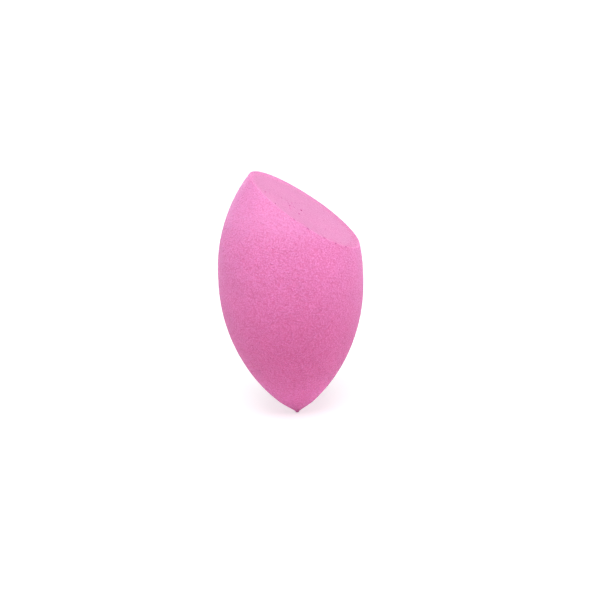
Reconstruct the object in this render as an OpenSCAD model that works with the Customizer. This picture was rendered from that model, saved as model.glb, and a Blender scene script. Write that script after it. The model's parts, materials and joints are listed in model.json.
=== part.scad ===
// Bevelled makeup sponge.
// One drop of polyurethane foam, moulded tip down and then sliced once at a slant near its crown.
// The mould leaves a closed skin all round. The slice opens it, so the flat face shows the cells
// of the core with the edge of the skin as a thin ring round them.
// The origin is the lowest point of the tip, +Z runs up the centre line, and the slice faces +X.

/* [Foam body] */
// Widest diameter of the sponge
body_d = 37; // [26:0.5:52]
// Height of the widest girth above the point where the lower flank alone would come to an end
tip_h = 37.8; // [26:0.2:54]
// Height of the crown above the widest girth, before the slice takes it off
crown_h = 36; // [28:0.2:50]
// Height of the straight band round the widest girth
band_h = 2; // [0.4:0.1:6]

/* [Tip] */
// Radius that rounds off the tip
tip_round_r = 2; // [1:0.1:3.5]
// Diameter of the stub that is left where the foam was poured in
nib_d = 1; // [0.6:0.1:1.6]
// Height that the stub stands out past the rounded tip
nib_h = 0.1; // [0.05:0.05:0.6]

/* [Slanted cut] */
// Tilt of the flat face from level
cut_angle = 36; // [15:1:42]
// Height at which the flat face crosses the centre line, above the widest girth
cut_h = 21; // [14:0.2:30]

/* [Moulded skin] */
// Thickness of the closed skin that forms against the mould
skin_t = 0.6; // [0.3:0.1:1.5]

/* [Hidden] */
$fn = 96;

body_r = body_d / 2;
nib_r = nib_d / 2;

// Radius of the arc that leaves a straight side at the body's radius and reaches the centre line
// after the given rise.
function flank_r(rise) = (body_r * body_r + rise * rise) / (2 * body_r);

tip_flank_r = flank_r(tip_h - band_h / 2);
crown_flank_r = flank_r(crown_h - band_h / 2);

// The tip's rounding touches the lower flank from inside, with its centre on the centre line.
tip_round_z = nib_h + tip_round_r;
tip_reach = sqrt(pow(tip_flank_r - tip_round_r, 2) - pow(tip_flank_r - body_r, 2));

band_low_z = tip_round_z + tip_reach;
band_high_z = band_low_z + band_h;
girth_z = band_low_z + band_h / 2;
crown_z = girth_z + crown_h;
cut_z = girth_z + cut_h;

// Height at which the rounding runs into the flank, a given distance inside the mould wall.
function seam_z(inset) =
    band_low_z - tip_reach * (tip_flank_r - inset) / (tip_flank_r - tip_round_r);

// Half of a flank: the disc of one arc, kept on the side of the centre line where the foam is and
// between two heights.
module flank(radius, centre_z, inset, low_z, high_z) {
    intersection() {
        translate([body_r - radius, centre_z])
            circle(r = radius - inset);
        translate([0, low_z])
            square([body_r - inset, high_z - low_z]);
    }
}

// Half of the tip's rounding, up to where it runs into the flank.
module tip_rounding(inset) {
    intersection() {
        translate([0, tip_round_z])
            circle(r = tip_round_r - inset);
        square([tip_round_r, seam_z(inset)]);
    }
}

// Half section of the drop, drawn a given distance inside the mould wall. A skin that is thicker
// than the rounding leaves none of it, and the flank then ends in a point.
module half_section(inset) {
    if (inset < tip_round_r)
        tip_rounding(inset);
    flank(tip_flank_r, band_low_z, inset, seam_z(inset), band_low_z);
    translate([0, band_low_z])
        square([body_r - inset, band_h]);
    flank(crown_flank_r, band_high_z, inset, band_high_z, crown_z);
}

module drop(inset) {
    rotate_extrude()
        half_section(inset);
}

// Everything below the slice, as a block that is larger than the sponge.
module below_cut() {
    reach = body_d + crown_z;
    translate([0, 0, cut_z])
        rotate([0, cut_angle, 0])
            translate([-reach, -reach, -2 * reach])
                cube(2 * reach);
}

// The stub of foam at the pouring point, with its trimmed end flat.
module moulding_nib() {
    cylinder(r = nib_r, h = tip_round_z);
}

module moulded_skin() {
    color([0.93, 0.47, 0.69])
    difference() {
        union() {
            intersection() {
                drop(0);
                below_cut();
            }
            moulding_nib();
        }
        drop(skin_t);
    }
}

module foam_core() {
    color([0.96, 0.62, 0.81])
    intersection() {
        drop(skin_t);
        below_cut();
    }
}

moulded_skin();
foam_core();
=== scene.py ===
import json
import math
import random
import bmesh
import bpy
import numpy as np
from mathutils import Matrix, Vector, noise


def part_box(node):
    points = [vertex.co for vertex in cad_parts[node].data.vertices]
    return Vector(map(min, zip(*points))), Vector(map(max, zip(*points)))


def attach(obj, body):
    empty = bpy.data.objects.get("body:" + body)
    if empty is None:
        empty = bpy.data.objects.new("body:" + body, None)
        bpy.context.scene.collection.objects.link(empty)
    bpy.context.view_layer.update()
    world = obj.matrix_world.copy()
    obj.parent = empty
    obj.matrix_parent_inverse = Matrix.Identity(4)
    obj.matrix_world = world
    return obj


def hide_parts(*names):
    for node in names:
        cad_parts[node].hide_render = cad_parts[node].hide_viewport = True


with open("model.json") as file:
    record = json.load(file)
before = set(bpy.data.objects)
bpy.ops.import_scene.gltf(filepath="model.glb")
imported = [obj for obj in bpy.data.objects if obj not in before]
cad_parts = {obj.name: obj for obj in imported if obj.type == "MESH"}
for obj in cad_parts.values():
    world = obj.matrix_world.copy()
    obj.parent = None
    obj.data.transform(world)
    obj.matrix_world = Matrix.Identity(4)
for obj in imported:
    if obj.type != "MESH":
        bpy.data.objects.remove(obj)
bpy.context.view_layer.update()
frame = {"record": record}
print("frame loaded")

mm = 0.001                 # lengths are in millimetres unless a note says metres
fullTurn = 2 * math.pi

# The drop of foam. Its girth, its skin and its cut come from the frame.
drop = {
    "tipHeight": 37.8,         # from where the lower flank alone would end to the widest girth
    "crownHeight": 36,         # from there to the crown, which the cut takes off
    "bandHeight": 2,           # straight band round the girth
    "tipRound": 2,             # radius that the mould gives the tip
    "coneSlope": 1.317,        # the foam drew in a little there as it cooled, almost to a cone
    "coneEnd": -0.065,         # height where that cone would end in a point
    "coneBlend": 0.12,         # how softly the cone runs into the flank
    "nibHeight": 0.1,          # stub of foam at the pouring point
    "nibWidth": 1,
    "nibRound": 0.14,          # rounding of the stub's end
    "nibBlend": 0.12,          # how softly the stub runs into the cone
    "nibKeep": 0.999,          # share of the plain outline that this leaves at least
    "nibZone": 1,              # height above which the stub plays no part
    "rimRound": 0.2,           # rounding of the edge round the cut
    "outlineStep": 0.02,       # spacing of the outline's points
    "chord": 0.1,              # length over which the outline's direction is taken
}

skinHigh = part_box("moulded_skin")[1]
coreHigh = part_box("foam_core")[1]
girthR = skinHigh.y / mm
skinThick = (skinHigh.y - coreHigh.y) / mm
cutMount = next(m for m in frame["record"]["mounts"] if m["name"] == "cut_face")
cutPoint = np.array(cutMount["pos_m"]) / mm
cutNormal = np.array(cutMount["axis"])
cutSlope = np.array([cutNormal[2], 0, -cutNormal[0]])      # down the slant, towards the low side
cutLevel = float(cutPoint @ cutNormal)


# Radius of the arc that leaves the girth straight up or down and meets the centre line after a rise.
def flankRadius(rise):
    return (girthR * girthR + rise * rise) / (2 * girthR)


tipFlankR = flankRadius(drop["tipHeight"] - drop["bandHeight"] / 2)
crownFlankR = flankRadius(drop["crownHeight"] - drop["bandHeight"] / 2)
tipReach = math.sqrt((tipFlankR - drop["tipRound"]) ** 2 - (tipFlankR - girthR) ** 2)
bandLow = drop["nibHeight"] + drop["tipRound"] + tipReach
bandHigh = bandLow + drop["bandHeight"]
girthZ = (bandLow + bandHigh) / 2


# Radius of the drop at a height, drawn a given distance inside the mould's wall.
def radiusAt(height, inset):
    low = np.clip(bandLow - height, 0, None)
    high = np.clip(height - bandHigh, 0, None)
    under = girthR - tipFlankR + np.sqrt(np.clip((tipFlankR - inset) ** 2 - low ** 2, 0, None))
    over = girthR - crownFlankR + np.sqrt(np.clip((crownFlankR - inset) ** 2 - high ** 2, 0, None))
    return np.where(height < bandLow, under, over)


# Smaller of two lengths, with a soft passage where they are alike.
def softMin(a, b, blend):
    return (a + b - np.sqrt((a - b) ** 2 + blend ** 2)) / 2


# Larger of two lengths, likewise, with the passage kept inside the plain outline.
def softMax(a, b, blend):
    inside = -softMin(-a, -b, blend) - blend / 2
    return np.maximum(inside, np.maximum(a, b) * drop["nibKeep"])


# Outline of the drop from the centre line at the tip to the crown: the distance along it, the radius
# and the height of its points.
def dropOutline(inset, withNib):
    start = bandLow - math.sqrt((tipFlankR - inset) ** 2 - (tipFlankR - girthR) ** 2)
    end = bandHigh + math.sqrt((crownFlankR - inset) ** 2 - (crownFlankR - girthR) ** 2)
    if withNib:
        height = np.arange(0, end, drop["outlineStep"])
        cone = (height - drop["coneEnd"]) * drop["coneSlope"]
        flank = softMin(radiusAt(height, inset), cone, drop["coneBlend"])
        nibR, nibRound = drop["nibWidth"] / 2, drop["nibRound"]
        bite = np.clip(nibRound - height, 0, None)
        nib = nibR - nibRound + np.sqrt(np.clip(nibRound ** 2 - bite ** 2, 0, None))
        joined = softMax(nib, np.clip(flank, 0, None), drop["nibBlend"])
        radius = np.where(height < drop["nibZone"], joined, flank)
        radius = np.concatenate([[0], radius])
        height = np.concatenate([[0], height])
    else:
        height = np.arange(start, end, drop["outlineStep"])
        radius = radiusAt(height, inset)
        radius[0] = 0
    along = np.concatenate([[0], np.cumsum(np.hypot(np.diff(radius), np.diff(height)))])
    return along, radius, height


def pointOn(outline, length):
    return np.interp(length, outline[0], outline[1]), np.interp(length, outline[0], outline[2])


# Where the outline meets the cut on each meridian, as a distance along the outline.
def lengthToCut(outline, angles):
    along, radius, height = outline
    side = np.outer(np.cos(angles), radius) * cutNormal[0] + height * cutNormal[2] - cutLevel
    past = np.argmax(side > 0, axis=1)
    rows = np.arange(len(angles))
    before, after = side[rows, past - 1], side[rows, past]
    return along[past - 1] + (along[past] - along[past - 1]) * before / (before - after)


# The meshes are rings of points on these meridians. A ring keeps all of them, or half where they come
# more than halveAt times closer together than at the girth, or a quarter further in, and so on.
meridians = {
    "count": 640,
    "halveAt": 2.05,
    "fewest": 18,              # a ring with no more than this isn't halved again
}

allAngles = np.arange(meridians["count"]) * fullTurn / meridians["count"]
outerOutline = dropOutline(0, True)
innerOutline = dropOutline(skinThick, False)


# How many of the meridians a ring of a given radius keeps.
def countAt(radius):
    count = meridians["count"]
    closest = girthR / meridians["count"] / meridians["halveAt"]
    while radius < closest * count and count > meridians["fewest"]:
        count //= 2
    return count


def onMeridians(radius, height, angles):
    return np.stack([radius * np.cos(angles), radius * np.sin(angles), height], axis=1)


# Mesh from rings of points, closed by a point at each end. A ring may have twice or half as many
# points as the one before it.
def meshFromRings(rings, firstPole, lastPole):
    points = [np.array([firstPole])] + rings + [np.array([lastPole])]
    starts = np.concatenate([[0], np.cumsum([len(p) for p in points])])
    faces = []
    for i in range(len(points) - 1):
        a, b = starts[i], starts[i + 1]
        m, n = len(points[i]), len(points[i + 1])
        if m == 1:
            faces += [(a, b + (k + 1) % n, b + k) for k in range(n)]
        elif n == 1:
            faces += [(a + k, a + (k + 1) % m, b) for k in range(m)]
        elif m == n:
            faces += [(a + k, a + (k + 1) % m, b + (k + 1) % n, b + k) for k in range(m)]
        elif n == 2 * m:
            for k in range(m):
                far = a + (k + 1) % m
                faces += [(a + k, b + 2 * k + 1, b + 2 * k), (a + k, far, b + 2 * k + 1),
                          (far, b + (2 * k + 2) % n, b + 2 * k + 1)]
        else:
            for k in range(n):
                far = b + (k + 1) % n
                faces += [(a + 2 * k, a + 2 * k + 1, b + k), (a + 2 * k + 1, far, b + k),
                          (a + 2 * k + 1, a + (2 * k + 2) % m, far)]
    return np.concatenate(points), faces


def meshPiece(name, points, faces, materials):
    mesh = bpy.data.meshes.new(name)
    mesh.from_pydata([tuple(p) for p in points * mm], [], [tuple(int(i) for i in f) for f in faces])
    mesh.validate()
    piece = bpy.data.objects.new(name, mesh)
    bpy.context.scene.collection.objects.link(piece)
    for material in materials:
        mesh.materials.append(material)
    return piece


# The foam's relief, on both sides of a surface that lies just under the mould's wall: the size of a
# bump and how deep it goes.
relief = {
    "under": 0.03,
    "calmTip": 1.5,            # height over which it rises from nothing at the tip
    "swell": (11.0, 0.06),     # soft swellings of the whole flank
    "pebble": (0.7, 0.04),     # the pebbling of the skin, one bump to a few cells
    "grain": (0.42, 0.07),     # the cells, drawn at about twice their size so that they show
    "faceWave": (6.5, 0.06),   # waves that the blade leaves in soft foam
    "faceGrain": (0.5, 0.04),  # cells that the blade opened
}


# The last number keeps one kind of bump from following another.
def waveAt(point, name, offset):
    size, depth = relief[name]
    return depth * noise.noise(Vector(point) / size + Vector((offset, offset, offset))) / 2


def skinRelief(point):
    rise = min(1, max(0, point[2]) / relief["calmTip"])
    bumps = waveAt(point, "swell", 0) + waveAt(point, "pebble", 5) + waveAt(point, "grain", 11)
    return (bumps - relief["under"]) * rise


def faceRelief(point):
    return waveAt(point, "faceWave", 17) + waveAt(point, "faceGrain", 23) - relief["under"]


# Points moved along their normals by the relief of the skin, or of the cut face by its share.
def pushedIn(points, normals, faceShare):
    out = points.copy()
    for i, (p, n, share) in enumerate(zip(points, normals, faceShare)):
        depth = 0.0
        if share < 1:
            depth += (1 - share) * skinRelief(p)
        if share > 0:
            depth += share * faceRelief(p)
        out[i] += n * depth
    return out


# The wall where skin and core meet, from the cut down to the inner tip. Nothing shows it, so its
# rings thin out quickly.
wallMesh = {
    "rows": 26,
    "thinner": 8,              # it ends with this many times fewer points than a ring that shows
    "fewest": 20,
}


def meetingWall():
    toCut = lengthToCut(innerOutline, allAngles)
    rings, count = [], meridians["count"]
    for row in range(1, wallMesh["rows"]):
        t = 1 - row / wallMesh["rows"]
        radius, height = pointOn(innerOutline, toCut * t)
        if count // 2 >= max(wallMesh["fewest"], countAt(radius.mean()) // wallMesh["thinner"]):
            count //= 2
        keep = slice(None, None, meridians["count"] // count)
        rings.append(onMeridians(radius[keep], height[keep], allAngles[keep]))
    return rings, np.array([0, 0, innerOutline[2][0]])


# The skin: rows from the tip to the rim, the rounded rim, its ring on the cut face and the wall.
skinMesh = {
    "rowsUp": 400,
    "rowSpread": 1.5,          # keeps the lowest rows level, though the rim is slanted
    "rimRows": 6,
    "ringRows": 4,
}


# On each meridian the corner that the cut alone would leave, the directions up the flank to it and
# inwards from it, and how far from it the rounding starts.
def rimCorner():
    toCut = lengthToCut(outerOutline, allAngles)
    cornerR, cornerZ = pointOn(outerOutline, toCut)
    backR, backZ = pointOn(outerOutline, toCut - drop["chord"])
    upward = np.stack([cornerR - backR, cornerZ - backZ], axis=1)
    upward /= np.linalg.norm(upward, axis=1)[:, None]
    inward = np.stack([-np.ones_like(allAngles),
                       np.cos(allAngles) * cutNormal[0] / cutNormal[2]], axis=1)
    inward /= np.linalg.norm(inward, axis=1)[:, None]
    between = np.arccos(np.clip(-(upward * inward).sum(axis=1), -1, 1))
    reach = drop["rimRound"] / np.tan(between / 2)
    return toCut, np.stack([cornerR, cornerZ], axis=1), upward, inward, reach


def skinShell():
    rings, normals, shares = [], [], []
    toCut, corner, upward, inward, reach = rimCorner()
    lowest = (toCut - reach).min()
    step = drop["chord"] / 2
    for row in range(1, skinMesh["rowsUp"] + 1):
        t = row / skinMesh["rowsUp"]
        length = lowest * t + (toCut - reach - lowest) * t ** skinMesh["rowSpread"]
        radius, height = pointOn(outerOutline, length)
        keep = slice(None, None, meridians["count"] // countAt(radius.mean()))
        angles, length = allAngles[keep], length[keep]
        aheadR, aheadZ = pointOn(outerOutline, length + step)
        behindR, behindZ = pointOn(outerOutline, length - step)
        across = np.stack([aheadZ - behindZ, behindR - aheadR], axis=1)
        across /= np.linalg.norm(across, axis=1)[:, None]
        rings.append(onMeridians(radius[keep], height[keep], angles))
        normals.append(onMeridians(across[:, 0], across[:, 1], angles))
        shares.append(np.zeros(len(angles)))
    flankNormal = normals[-1]
    flankEnd = corner - upward * reach[:, None]
    faceStart = corner + inward * reach[:, None]
    for row in range(1, skinMesh["rimRows"] + 1):
        t = row / skinMesh["rimRows"]
        spot = flankEnd * (1 - t) ** 2 + corner * 2 * t * (1 - t) + faceStart * t ** 2
        rings.append(onMeridians(spot[:, 0], spot[:, 1], allAngles))
        normal = flankNormal * (1 - t) + cutNormal * t
        normals.append(normal / np.linalg.norm(normal, axis=1)[:, None])
        shares.append(np.full(len(allAngles), t))
    innerR, innerZ = pointOn(innerOutline, lengthToCut(innerOutline, allAngles))
    inner = np.stack([innerR, innerZ], axis=1)
    for row in range(1, skinMesh["ringRows"] + 1):
        t = row / skinMesh["ringRows"]
        spot = faceStart * (1 - t) + inner * t
        rings.append(onMeridians(spot[:, 0], spot[:, 1], allAngles))
        normals.append(np.tile(cutNormal, (len(allAngles), 1)))
        shares.append(np.ones(len(allAngles)))
    visible = [pushedIn(*group) for group in zip(rings, normals, shares)]
    wall, innerTip = meetingWall()
    tip = np.array([0, 0, float(visible[0][:, 2].mean())])
    return meshFromRings(visible + wall, tip, innerTip)


# The core: the cut face from its middle outwards, and the same wall.
coreMesh = {
    "rowSpacing": 0.18,
}


def coreBody():
    innerR, innerZ = pointOn(innerOutline, lengthToCut(innerOutline, allAngles))
    middleZ = cutLevel / cutNormal[2]
    rows = int(innerR.mean() / coreMesh["rowSpacing"])
    visible = []
    for row in range(1, rows + 1):
        t = row / rows
        radius, height = innerR * t, middleZ + (innerZ - middleZ) * t
        count = countAt(radius.mean() * girthR / innerR.mean())
        keep = slice(None, None, meridians["count"] // count)
        ring = onMeridians(radius[keep], height[keep], allAngles[keep])
        visible.append(pushedIn(ring, np.tile(cutNormal, (len(ring), 1)), np.ones(len(ring))))
    middle = pushedIn(np.array([[0, 0, middleZ]]), [cutNormal], [1.0])[0]
    wall, innerTip = meetingWall()
    points, faces = meshFromRings(visible + wall, middle, innerTip)
    return points, [f[::-1] for f in faces]


# Burst cells: holes where a gas bubble opened at the surface. On the cut face the larger ones lie
# where the photograph shows them, given as distances down the slant and across it, and a width.
burst = {
    "seed": 11,
    "seen": ((-1.1, -2.8, 0.62), (-1.8, -6.7, 0.46), (-9.0, -10.6, 0.5), (-14.8, -6.0, 0.46),
             (-11.9, -6.0, 0.4), (-7.1, -2.7, 0.38), (-5.4, -2.0, 0.42), (-5.0, -3.7, 0.38),
             (-4.6, -4.9, 0.42), (-3.9, -1.6, 0.36), (-3.3, -3.9, 0.4), (-4.5, -6.9, 0.42)),
    "seenStretch": (1.2, 2.4),                 # their length over their width
    "seenLean": 0.8,                           # how far that length may lean from across the slant
    "nicks": (-3.4, 0.8, 5.6, 9.1, 12.2),      # along the near rim, as distances down the slant
    "nickWidth": 0.36,
    "nickLength": 0.95,
    "nickSunk": 0.05,
    "fineOnCut": 40,
    "fineOnSkin": 150,
    "fineWidths": (0.14, 0.28),
    "fineStretch": 1.5,                        # their length over their width at the most
    "edgeGap": 0.6,                            # how far the fine ones keep from the core's edge
    "tipGap": 4,                               # and on the skin from the tip
    "rimGap": 1,                               # and from the rim
    "apart": 0.3,
    "sink": 0.9,                               # depth over width
    "uneven": 0.3,                             # how far their walls stray from a ball's
    "dents": 3,                                # how many times a wall does so, about
    "coarseBelow": 0.3,                        # narrower ones have a coarser mesh
}


# Places, outward directions, widths and lengths of the burst cells of the core and of the skin, and
# the directions of their lengths. None of the fine ones touches another.
def burstCells():
    dice = random.Random(burst["seed"])

    def addTo(group, place, normal, width):
        along = [dice.uniform(-1, 1) for axis in range(3)]
        length = width * dice.uniform(1, burst["fineStretch"])
        group.append((place, normal, width, length, along))

    def clear(group, place, width):
        return all(np.linalg.norm(place - other) > width + length / 2 + burst["apart"]
                   for other, normal, otherWidth, length, along in group)

    onCore, onSkin = [], []
    across = np.array([0, 1, 0])
    for u, v, width in burst["seen"]:
        length = width * dice.uniform(*burst["seenStretch"])
        along = across + cutSlope * dice.uniform(-burst["seenLean"], burst["seenLean"])
        onCore.append((cutPoint + cutSlope * u + across * v, cutNormal, width, length, along))
    toCut = lengthToCut(outerOutline, allAngles)
    rim = onMeridians(*pointOn(outerOutline, toCut), allAngles)
    near = rim[rim[:, 1] < 0]
    for u in burst["nicks"]:
        i = np.argmin(np.abs((near - cutPoint) @ cutSlope - u))
        outward = near[i] * (1, 1, 0) / np.hypot(near[i][0], near[i][1]) + cutNormal
        onSkin.append((near[i] - outward * burst["nickSunk"], outward / np.linalg.norm(outward),
                       burst["nickWidth"], burst["nickLength"], near[i + 1] - near[i - 1]))

    edge = pointOn(innerOutline, lengthToCut(innerOutline, allAngles))[0]
    while len(onCore) < len(burst["seen"]) + burst["fineOnCut"]:
        turn = dice.uniform(0, fullTurn)
        reach = math.sqrt(dice.random()) * (np.interp(turn, allAngles, edge) - burst["edgeGap"])
        width = dice.uniform(*burst["fineWidths"])
        x, y = reach * math.cos(turn), reach * math.sin(turn)
        place = np.array([x, y, (cutLevel - x * cutNormal[0]) / cutNormal[2]])
        if clear(onCore, place, width):
            addTo(onCore, place, cutNormal, width)
    while len(onSkin) < len(burst["nicks"]) + burst["fineOnSkin"]:
        turn, width = dice.uniform(0, fullTurn), dice.uniform(*burst["fineWidths"])
        rimLength = float(np.interp(turn, allAngles, toCut))
        length = dice.uniform(burst["tipGap"], rimLength - burst["rimGap"])
        radius, height = pointOn(outerOutline, length)
        if dice.random() * girthR > radius:            # or they would crowd where the drop is narrow
            continue
        aheadR, aheadZ = pointOn(outerOutline, length + drop["chord"])
        rise = aheadZ - height
        normal = np.array([rise * math.cos(turn), rise * math.sin(turn), radius - aheadR])
        place = np.array([radius * math.cos(turn), radius * math.sin(turn), height])
        if clear(onSkin, place, width):
            addTo(onSkin, place, normal / np.linalg.norm(normal), width)
    return onCore, onSkin, dice


# Cuts the cells out of a piece, each as an uneven ball. Their walls get the piece's second material,
# whose darker pink is painted shade inside the hollows.
def openCells(piece, cells, dice):
    balls = bmesh.new()
    for place, normal, width, length, along in cells:
        up = Vector(normal)
        side = up.cross(Vector(along)).normalized()
        turn = Matrix((side.cross(up), side, up)).transposed()
        size = Matrix.Diagonal((length, width, 2 * width * burst["sink"]))
        fineness = 2 if width < burst["coarseBelow"] else 3
        made = bmesh.ops.create_icosphere(balls, subdivisions=fineness, radius=0.5)
        offset = Vector((dice.uniform(0, 99), 0, 0))
        for vertex in made["verts"]:
            uneven = 1 + burst["uneven"] * noise.noise(vertex.co * burst["dents"] + offset)
            vertex.co = (Vector(place) + turn @ size @ (vertex.co * uneven)) * mm
    for face in balls.faces:
        face.material_index = 1
    mesh = bpy.data.meshes.new("burst cells")
    balls.to_mesh(mesh)
    for material in piece.data.materials:
        mesh.materials.append(material)
    balls.free()
    cutter = bpy.data.objects.new("burst cells", mesh)
    bpy.context.scene.collection.objects.link(cutter)
    modifier = piece.modifiers.new("burst cells", "BOOLEAN")
    modifier.operation = "DIFFERENCE"
    modifier.solver = "MANIFOLD"
    modifier.object = cutter
    evaluated = piece.evaluated_get(bpy.context.evaluated_depsgraph_get())
    opened = bpy.data.meshes.new_from_object(evaluated)
    piece.modifiers.clear()
    piece.data = opened
    bpy.data.objects.remove(cutter)


# Colours are written as sRGB hex, as they look on the object.
def colour(hexCode):
    parts = [int(hexCode[i:i + 2], 16) / 255 for i in (1, 3, 5)]
    return [p / 12.92 if p <= 0.04045 else ((p + 0.055) / 1.055) ** 2.4 for p in parts] + [1]


# Adds a node, sets its properties and inputs by name and links its inputs.
def addNode(tree, kind, settings, links=()):
    made = tree.nodes.new("ShaderNode" + kind)
    for name, value in settings.items():
        if isinstance(name, str) and hasattr(made, name):
            setattr(made, name, value)
        else:
            made.inputs[name].default_value = value
    for name, source in dict(links).items():
        tree.links.new(source, made.inputs[name])
    return made


def newMaterial(name):
    material = bpy.data.materials.new(name)
    material.use_nodes = True
    material.node_tree.nodes.clear()
    return material, material.node_tree


# Polyurethane foam, cast in a mould and left with a matt closed skin. The cells just under the skin
# show as fine pebbles with darker seams, partly their colour and partly painted shade in the bumps'
# hollows, and their fine edges catch light as a pale velvet bloom. The skin's colour by height is
# painted light: paler at the crown, darker below the girth, paler again at the tip.
# The blade's cut shows the core, which is more even, with a ring of dense foam round it.
# Colours are hex, and sizes and heights are in millimetres.
mouldedFoam = {
    "skinCrownHighlight": "#E08CC5",    # at the crown: paler, a painted highlight where the top light is strongest
    "skinHigh": "#E68ACA",     # above the girth
    "skinLowShade": "#E278BC",      # below it: darker, painted shade where the flank turns down from the light
    "skinTipBounceLight": "#F287D1",      # at the tip: paler, painted light bounced up from the floor
    "crownAndHigh": (57, 46),  # heights where these colours hold
    "highAndLow": (50, 18),
    "lowAndTip": (16, 6),
    "seamShadeTint": "#E6BDC2",     # what the seams between cells, and the mottle, multiply these by: partly the cells' colour, partly painted shade in the bumps' hollows
    "core": "#C56FA2",
    "dense": "#D374B1",        # of the dense foam round it
    "cloud": 9.0,              # size of a patch where the dye took more or less
    "cloudValue": (0.96, 1.03),
    "patch": 2.6,              # size of a waver in the ring of dense foam
    "patchSpan": (0.25, 0.75),
    "grain": 0.3,              # a cell and its wall
    "pebble": 0.44,            # drawn at twice the size of a real cell, to show at this distance
    "seamSpan": (0.3, 0.8),    # from a pebble's middle, over its size, where its seam darkens
    "seamShare": 0.52,
    "grainShare": 1.05,
    "coreCalm": 0.6,           # how much less of both the cut face has
    "crownCalm": 0.42,         # and the skin at the crown, which leaves it lighter and smoother there, partly a painted highlight
    "highCalm": 0.12,          # and the skin above the girth, next to the skin below it
    "skinDepth": (0.1, 0.45),  # depth under the mould's wall over which the closed skin ends
    "ring": (0.5, 2.4),        # and over which the dense foam under it passes to the core
    "ringLean": 0.06,          # the ring is wider at the back, by this share of the distance across
    "ringUneven": 1.4,         # and its width wanders by up to this much
    "ior": 1.5,
    "roughness": (0.56, 0.68),
    "specular": 0.4,
    "sheen": 0.36,
    "sheenRoughness": 0.45,
    "sheenTint": "#F9AAE9",
    "scatter": 0.2,
    "scatterDepth": 1.2,
    "scatterReach": (1, 0.35, 0.55),           # of red, green and blue
    "bumpDepth": 0.17,
}

noiseSpan = (0.3, 0.7)     # where nearly all of a noise texture's values lie


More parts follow.
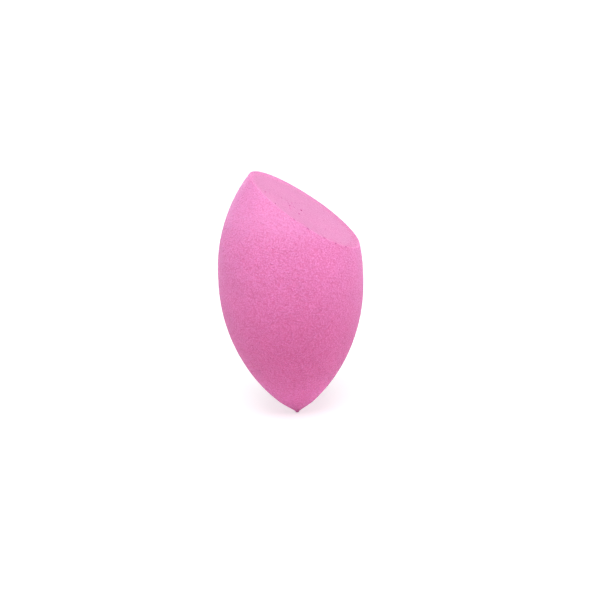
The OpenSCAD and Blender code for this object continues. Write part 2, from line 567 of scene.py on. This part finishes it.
def foamMaterial(name, look):
    material, tree = newMaterial(name)
    place = addNode(tree, "TexCoord", {})
    inMm = addNode(tree, "VectorMath", {"operation": "SCALE", "Scale": 1 / mm},
                   {0: place.outputs["Object"]})
    spot = inMm.outputs[0]
    cloud = addNode(tree, "TexNoise", {"Scale": 1 / look["cloud"], "Detail": 2}, {"Vector": spot})
    patch = addNode(tree, "TexNoise", {"Scale": 1 / look["patch"], "Detail": 3, "Roughness": 0.7},
                    {"Vector": spot})
    grain = addNode(tree, "TexNoise", {"Scale": 1 / look["grain"], "Detail": 3, "Roughness": 0.6},
                    {"Vector": spot})
    pebble = addNode(tree, "TexVoronoi", {"Scale": 1 / look["pebble"]}, {"Vector": spot})

    # How deep the point lies under the mould's wall, for the ring of dense foam round the core.
    flat = addNode(tree, "VectorMath", {"operation": "MULTIPLY", 1: (1, 1, 0)}, {0: spot})
    radius = addNode(tree, "VectorMath", {"operation": "LENGTH"}, {0: flat.outputs[0]})
    split = addNode(tree, "SeparateXYZ", {}, {0: spot})
    outOf = addNode(tree, "Math", {"operation": "ADD", 1: crownFlankR - girthR},
                    {0: radius.outputs["Value"]})
    above = addNode(tree, "Math", {"operation": "SUBTRACT", 1: bandHigh}, {0: split.outputs["Z"]})
    arm = addNode(tree, "CombineXYZ", {}, {"X": outOf.outputs[0], "Y": above.outputs[0]})
    armLength = addNode(tree, "VectorMath", {"operation": "LENGTH"}, {0: arm.outputs[0]})
    depth = addNode(tree, "Math", {"operation": "SUBTRACT", 0: crownFlankR},
                    {1: armLength.outputs["Value"]})
    leaning = addNode(tree, "Math", {"operation": "MULTIPLY_ADD", 1: -look["ringLean"]},
                      {0: split.outputs["Y"], 2: depth.outputs[0]})
    uneven = addNode(tree, "MapRange", {
        "From Min": look["patchSpan"][0], "From Max": look["patchSpan"][1],
        "To Min": -look["ringUneven"] / 2, "To Max": look["ringUneven"] / 2,
    }, {"Value": patch.outputs[0]})
    wandering = addNode(tree, "Math", {"operation": "ADD"},
                        {0: leaning.outputs[0], 1: uneven.outputs[0]})
    inside = addNode(tree, "MapRange", {
        "interpolation_type": "SMOOTHSTEP",
        "From Min": look["ring"][0], "From Max": look["ring"][1],
    }, {"Value": wandering.outputs[0]})
    opened = addNode(tree, "MapRange", {
        "From Min": look["skinDepth"][0], "From Max": look["skinDepth"][1],
    }, {"Value": depth.outputs[0]})
    isCut = addNode(tree, "Math", {"operation": "GREATER_THAN", 1: bandHigh},
                    {0: split.outputs["Z"]})
    bare = addNode(tree, "Math", {"operation": "MULTIPLY"},
                   {0: opened.outputs[0], 1: isCut.outputs[0]})
    coreShare = addNode(tree, "Math", {"operation": "MULTIPLY"},
                        {0: inside.outputs[0], 1: bare.outputs[0]})

    # Colour by height on the skin, following how the light falls on it: a painted highlight at the
    # crown, painted shade below the girth and painted bounce light at the tip. Colour by depth on the
    # cut.
    high = addNode(tree, "MapRange", {
        "interpolation_type": "SMOOTHSTEP",
        "From Min": look["highAndLow"][1], "From Max": look["highAndLow"][0],
    }, {"Value": split.outputs["Z"]})
    top = addNode(tree, "MapRange", {
        "interpolation_type": "SMOOTHSTEP",
        "From Min": look["crownAndHigh"][1], "From Max": look["crownAndHigh"][0],
    }, {"Value": split.outputs["Z"]})
    bottom = addNode(tree, "MapRange", {
        "interpolation_type": "SMOOTHSTEP",
        "From Min": look["lowAndTip"][0], "From Max": look["lowAndTip"][1],
    }, {"Value": split.outputs["Z"]})
    flank = addNode(tree, "Mix", {
        "data_type": "RGBA", 6: colour(look["skinLowShade"]), 7: colour(look["skinHigh"]),
    }, {0: high.outputs[0]})
    shoulder = addNode(tree, "Mix", {"data_type": "RGBA", 7: colour(look["skinCrownHighlight"])},
                       {0: top.outputs[0], 6: flank.outputs[2]})
    skin = addNode(tree, "Mix", {"data_type": "RGBA", 7: colour(look["skinTipBounceLight"])},
                   {0: bottom.outputs[0], 6: shoulder.outputs[2]})
    cutFoam = addNode(tree, "Mix", {
        "data_type": "RGBA", 6: colour(look["dense"]), 7: colour(look["core"]),
    }, {0: inside.outputs[0]})
    body = addNode(tree, "Mix", {"data_type": "RGBA"},
                   {0: bare.outputs[0], 6: skin.outputs[2], 7: cutFoam.outputs[2]})

    # How strongly the cells show, and the seams and the mottle that they give. Both darken where the
    # bump is low: partly the cells' colour, partly painted shade.
    coreCalm = addNode(tree, "MapRange", {"To Min": 1, "To Max": 1 - look["coreCalm"]},
                       {"Value": coreShare.outputs[0]})
    topCalm = addNode(tree, "MapRange", {"To Min": 1, "To Max": 1 - look["crownCalm"]},
                      {"Value": top.outputs[0]})
    upCalm = addNode(tree, "MapRange", {"To Min": 1, "To Max": 1 - look["highCalm"]},
                     {"Value": high.outputs[0]})
    skinCalm = addNode(tree, "Math", {"operation": "MINIMUM"},
                       {0: topCalm.outputs[0], 1: upCalm.outputs[0]})
    calm = addNode(tree, "Math", {"operation": "MINIMUM"},
                   {0: coreCalm.outputs[0], 1: skinCalm.outputs[0]})
    seams = addNode(tree, "MapRange", {
        "From Min": look["seamSpan"][0], "From Max": look["seamSpan"][1],
        "To Max": look["seamShare"],
    }, {"Value": pebble.outputs["Distance"]})
    mottle = addNode(tree, "MapRange", {
        "From Min": noiseSpan[1], "From Max": noiseSpan[0], "To Max": look["grainShare"],
    }, {"Value": grain.outputs[0]})
    dark = addNode(tree, "Math", {"operation": "ADD"},
                   {0: seams.outputs[0], 1: mottle.outputs[0]})
    darkHere = addNode(tree, "Math", {"operation": "MULTIPLY"},
                       {0: dark.outputs[0], 1: calm.outputs[0]})
    seamedAndShaded = addNode(tree, "Mix", {
        "data_type": "RGBA", "blend_type": "MULTIPLY", 7: colour(look["seamShadeTint"]),
    }, {0: darkHere.outputs[0], 6: body.outputs[2]})
    drift = addNode(tree, "MapRange", {
        "From Min": noiseSpan[0], "From Max": noiseSpan[1],
        "To Min": look["cloudValue"][0], "To Max": look["cloudValue"][1],
    }, {"Value": cloud.outputs[0]})
    tone = addNode(tree, "HueSaturation", {},
                   {"Color": seamedAndShaded.outputs[2], "Value": drift.outputs[0]})

    height = addNode(tree, "Math", {"operation": "MULTIPLY_ADD", 1: -1},
                     {0: pebble.outputs["Distance"], 2: grain.outputs[0]})
    rough = addNode(tree, "MapRange", {
        "From Min": noiseSpan[0], "From Max": noiseSpan[1],
        "To Min": look["roughness"][1], "To Max": look["roughness"][0],
    }, {"Value": grain.outputs[0]})
    bump = addNode(tree, "Bump", {"Distance": look["bumpDepth"] * mm},
                   {"Height": height.outputs[0], "Strength": calm.outputs[0]})
    shader = addNode(tree, "BsdfPrincipled", {
        "IOR": look["ior"],
        "Specular IOR Level": look["specular"],
        "Subsurface Weight": look["scatter"],
        "Subsurface Radius": look["scatterReach"],
        "Subsurface Scale": look["scatterDepth"] * mm,
        "Sheen Weight": look["sheen"],
        "Sheen Roughness": look["sheenRoughness"],
        "Sheen Tint": colour(look["sheenTint"]),
    }, {"Base Color": tone.outputs[0], "Roughness": rough.outputs[0], "Normal": bump.outputs[0]})
    addNode(tree, "OutputMaterial", {}, {"Surface": shader.outputs[0]})
    return material


# Polyurethane foam where a gas bubble burst through: the inside is bare cell wall, without the skin's
# bloom. Its deeper pink than the face round it is painted shade for the hollow, and it is slightly
# streaked.
burstCell = {
    "streak": 0.12,            # width of a fold in the stretched cell wall
    "streakSpan": (0.35, 0.65),
    "light": "#DC7CB2",
    "dark": "#C4649E",
    "ior": 1.5,
    "specular": 0.2,
    "roughness": (0.8, 0.95),
    "bumpDepth": 0.03,
}


def shadedBurstMaterial(name, look):
    material, tree = newMaterial(name)
    place = addNode(tree, "TexCoord", {})
    streak = addNode(tree, "TexNoise", {"Scale": 1 / look["streak"] / mm, "Detail": 2},
                     {"Vector": place.outputs["Object"]})
    share = addNode(tree, "MapRange", {
        "From Min": look["streakSpan"][0], "From Max": look["streakSpan"][1],
    }, {"Value": streak.outputs[0]})
    wall = addNode(tree, "Mix", {
        "data_type": "RGBA", 6: colour(look["dark"]), 7: colour(look["light"]),
    }, {0: share.outputs[0]})
    rough = addNode(tree, "MapRange", {
        "To Min": look["roughness"][0], "To Max": look["roughness"][1],
    }, {"Value": streak.outputs[0]})
    bump = addNode(tree, "Bump", {"Distance": look["bumpDepth"] * mm}, {"Height": streak.outputs[0]})
    shader = addNode(tree, "BsdfPrincipled", {
        "IOR": look["ior"],
        "Specular IOR Level": look["specular"],
    }, {"Base Color": wall.outputs[2], "Roughness": rough.outputs[0], "Normal": bump.outputs[0]})
    addNode(tree, "OutputMaterial", {}, {"Surface": shader.outputs[0]})
    return material


foam = foamMaterial("moulded polyurethane foam", mouldedFoam)
shadedCellWall = shadedBurstMaterial("burst polyurethane foam in painted shade", burstCell)
crispAngle = 40            # degrees, above which an edge stays crisp: those of the burst cells do

skinPiece = meshPiece("sponge_skin", *skinShell(), [foam, shadedCellWall])
print("skin shell made:", len(skinPiece.data.polygons), "faces")
corePiece = meshPiece("sponge_core", *coreBody(), [foam, shadedCellWall])
print("core made:", len(corePiece.data.polygons), "faces")
coreCells, skinCells, dice = burstCells()
openCells(corePiece, coreCells, dice)
openCells(skinPiece, skinCells, dice)
for piece in (skinPiece, corePiece):
    print("burst cells opened:", piece.name, "has", len(piece.data.polygons), "faces")
    piece.data.shade_smooth()
    piece.data.set_sharp_from_angle(angle=math.radians(crispAngle))

for piece, node in ((skinPiece, "moulded_skin"), (corePiece, "foam_core")):
    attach(piece, "root")
    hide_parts(node)


# One where the camera sees a surface, straight or by reflection or through glass, and otherwise zero.
def seenByCamera(tree):
    path = addNode(tree, "LightPath", {})
    seen = path.outputs["Is Camera Ray"]
    for ray in ("Is Glossy Ray", "Is Transmission Ray"):
        either = addNode(tree, "Math", {"operation": "MAXIMUM"}, {0: seen, 1: path.outputs[ray]})
        seen = either.outputs[0]
    return seen


# Matt white background paper. The camera sees it as white, with the sponge's shadow on it, and to
# the light it is plain paper.
paper = {
    "half": 1.5,               # metres from its middle to its edge
    "colour": "#EDEBEC",
    "seenColour": "#C8C8C8",
    "seenGlow": 0.6,
}


def paperFloor():
    material, tree = newMaterial("white background paper")
    shown = addNode(tree, "BsdfDiffuse", {"Color": colour(paper["seenColour"])})
    glow = addNode(tree, "Emission", {"Color": colour("#FFFFFF"), "Strength": paper["seenGlow"]})
    white = addNode(tree, "AddShader", {}, {0: shown.outputs[0], 1: glow.outputs[0]})
    plain = addNode(tree, "BsdfDiffuse", {"Color": colour(paper["colour"])})
    both = addNode(tree, "MixShader", {},
                   {"Fac": seenByCamera(tree), 1: plain.outputs[0], 2: white.outputs[0]})
    addNode(tree, "OutputMaterial", {}, {"Surface": both.outputs[0]})
    half = paper["half"]
    corners = [(-half, -half, 0), (half, -half, 0), (half, half, 0), (-half, half, 0)]
    mesh = bpy.data.meshes.new("floor")
    mesh.from_pydata(corners, [], [(0, 1, 2, 3)])
    mesh.materials.append(material)
    floor = bpy.data.objects.new("floor", mesh)
    bpy.context.scene.collection.objects.link(floor)


# Soft lamps aimed at the sponge's middle: place in metres, size in metres, watts and tint.
lamps = {
    "front softbox": ((0, -0.25, 0.55), (0.5, 0.5), 4.68, "#FFFFFF"),
    "left strip": ((-0.5, -0.05, 0.05), (0.2, 0.4), 0.5, "#FFFFFF"),
    "right strip": ((0.5, 0, 0.03), (0.2, 0.4), 1.42, "#FFFFFF"),
    "back left strip": ((-0.38, 0.36, 0.08), (0.25, 0.5), 0.08, "#F6F4FF"),
    "back right strip": ((0.38, 0.36, 0.08), (0.25, 0.5), 0.25, "#F6F4FF"),
    "back strip": ((0, 0.6, 0.04), (0.6, 0.08), 1.4, "#FFFFFF"),
}
lampAim = (0, 0, 0.033)
room = {
    "light": 0.25,
    "tint": "#F4F2F8",
}


def areaLamp(name, place, size, power, tint):
    light = bpy.data.lights.new(name, "AREA")
    light.shape = "RECTANGLE"
    light.size, light.size_y = size
    light.energy = power
    light.color = colour(tint)[:3]
    lamp = bpy.data.objects.new(name, light)
    lamp.location = place
    lamp.rotation_mode = "QUATERNION"
    lamp.rotation_quaternion = (Vector(lampAim) - Vector(place)).to_track_quat("-Z", "Y")
    bpy.context.scene.collection.objects.link(lamp)


def studioWorld():
    world = bpy.data.worlds.new("studio")
    bpy.context.scene.world = world
    world.use_nodes = True
    tree = world.node_tree
    tree.nodes.clear()
    walls = addNode(tree, "Background", {"Color": colour(room["tint"]), "Strength": room["light"]})
    white = addNode(tree, "Background", {"Color": colour("#FFFFFF"), "Strength": 1})
    both = addNode(tree, "MixShader", {},
                   {"Fac": seenByCamera(tree), 1: walls.outputs[0], 2: white.outputs[0]})
    addNode(tree, "OutputWorld", {}, {"Surface": both.outputs[0]})


# The photograph's camera, from the sponge's outline in it.
photo = {
    "width": 600,
    "height": 593,
    "elevation": 20,           # degrees above level
    "roll": 2.78,              # degrees that the sponge leans to the left
    "distance": 700,           # from the lens to the point aimed at
    "pixelsAcrossGirth": 144.9,
    "pivotBelowGirth": 5.8,    # a point on the centre line, and the pixel where it shows
    "pivotPixel": (291.7, 297.6),
    "sensor": 36,
}


def photoCamera():
    data = bpy.data.cameras.new("camera")
    data.sensor_width = photo["sensor"]
    pixelsPerMm = photo["pixelsAcrossGirth"] / (2 * girthR)
    data.lens = pixelsPerMm * photo["distance"] * photo["sensor"] / photo["width"]
    tilt, roll = math.radians(photo["elevation"]), math.radians(photo["roll"])
    back = Vector((0, -math.cos(tilt), math.sin(tilt)))
    levelUp = Vector((0, math.sin(tilt), math.cos(tilt)))
    levelRight = Vector((1, 0, 0))
    right = levelRight * math.cos(roll) - levelUp * math.sin(roll)
    up = levelRight * math.sin(roll) + levelUp * math.cos(roll)
    offX = (photo["width"] / 2 - photo["pivotPixel"][0]) / pixelsPerMm
    offY = (photo["pivotPixel"][1] - photo["height"] / 2) / pixelsPerMm
    aim = Vector((0, 0, girthZ - photo["pivotBelowGirth"])) + right * offX + up * offY
    turn = Matrix((right, up, back)).transposed().to_4x4()
    camera = bpy.data.objects.new("camera", data)
    camera.matrix_world = Matrix.Translation((aim + back * photo["distance"]) * mm) @ turn
    bpy.context.scene.collection.objects.link(camera)
    bpy.context.scene.camera = camera


paperFloor()
studioWorld()
for name, settings in lamps.items():
    areaLamp(name, *settings)
photoCamera()
bpy.context.scene.view_settings.view_transform = "Standard"
print("floor, lamps and camera made")
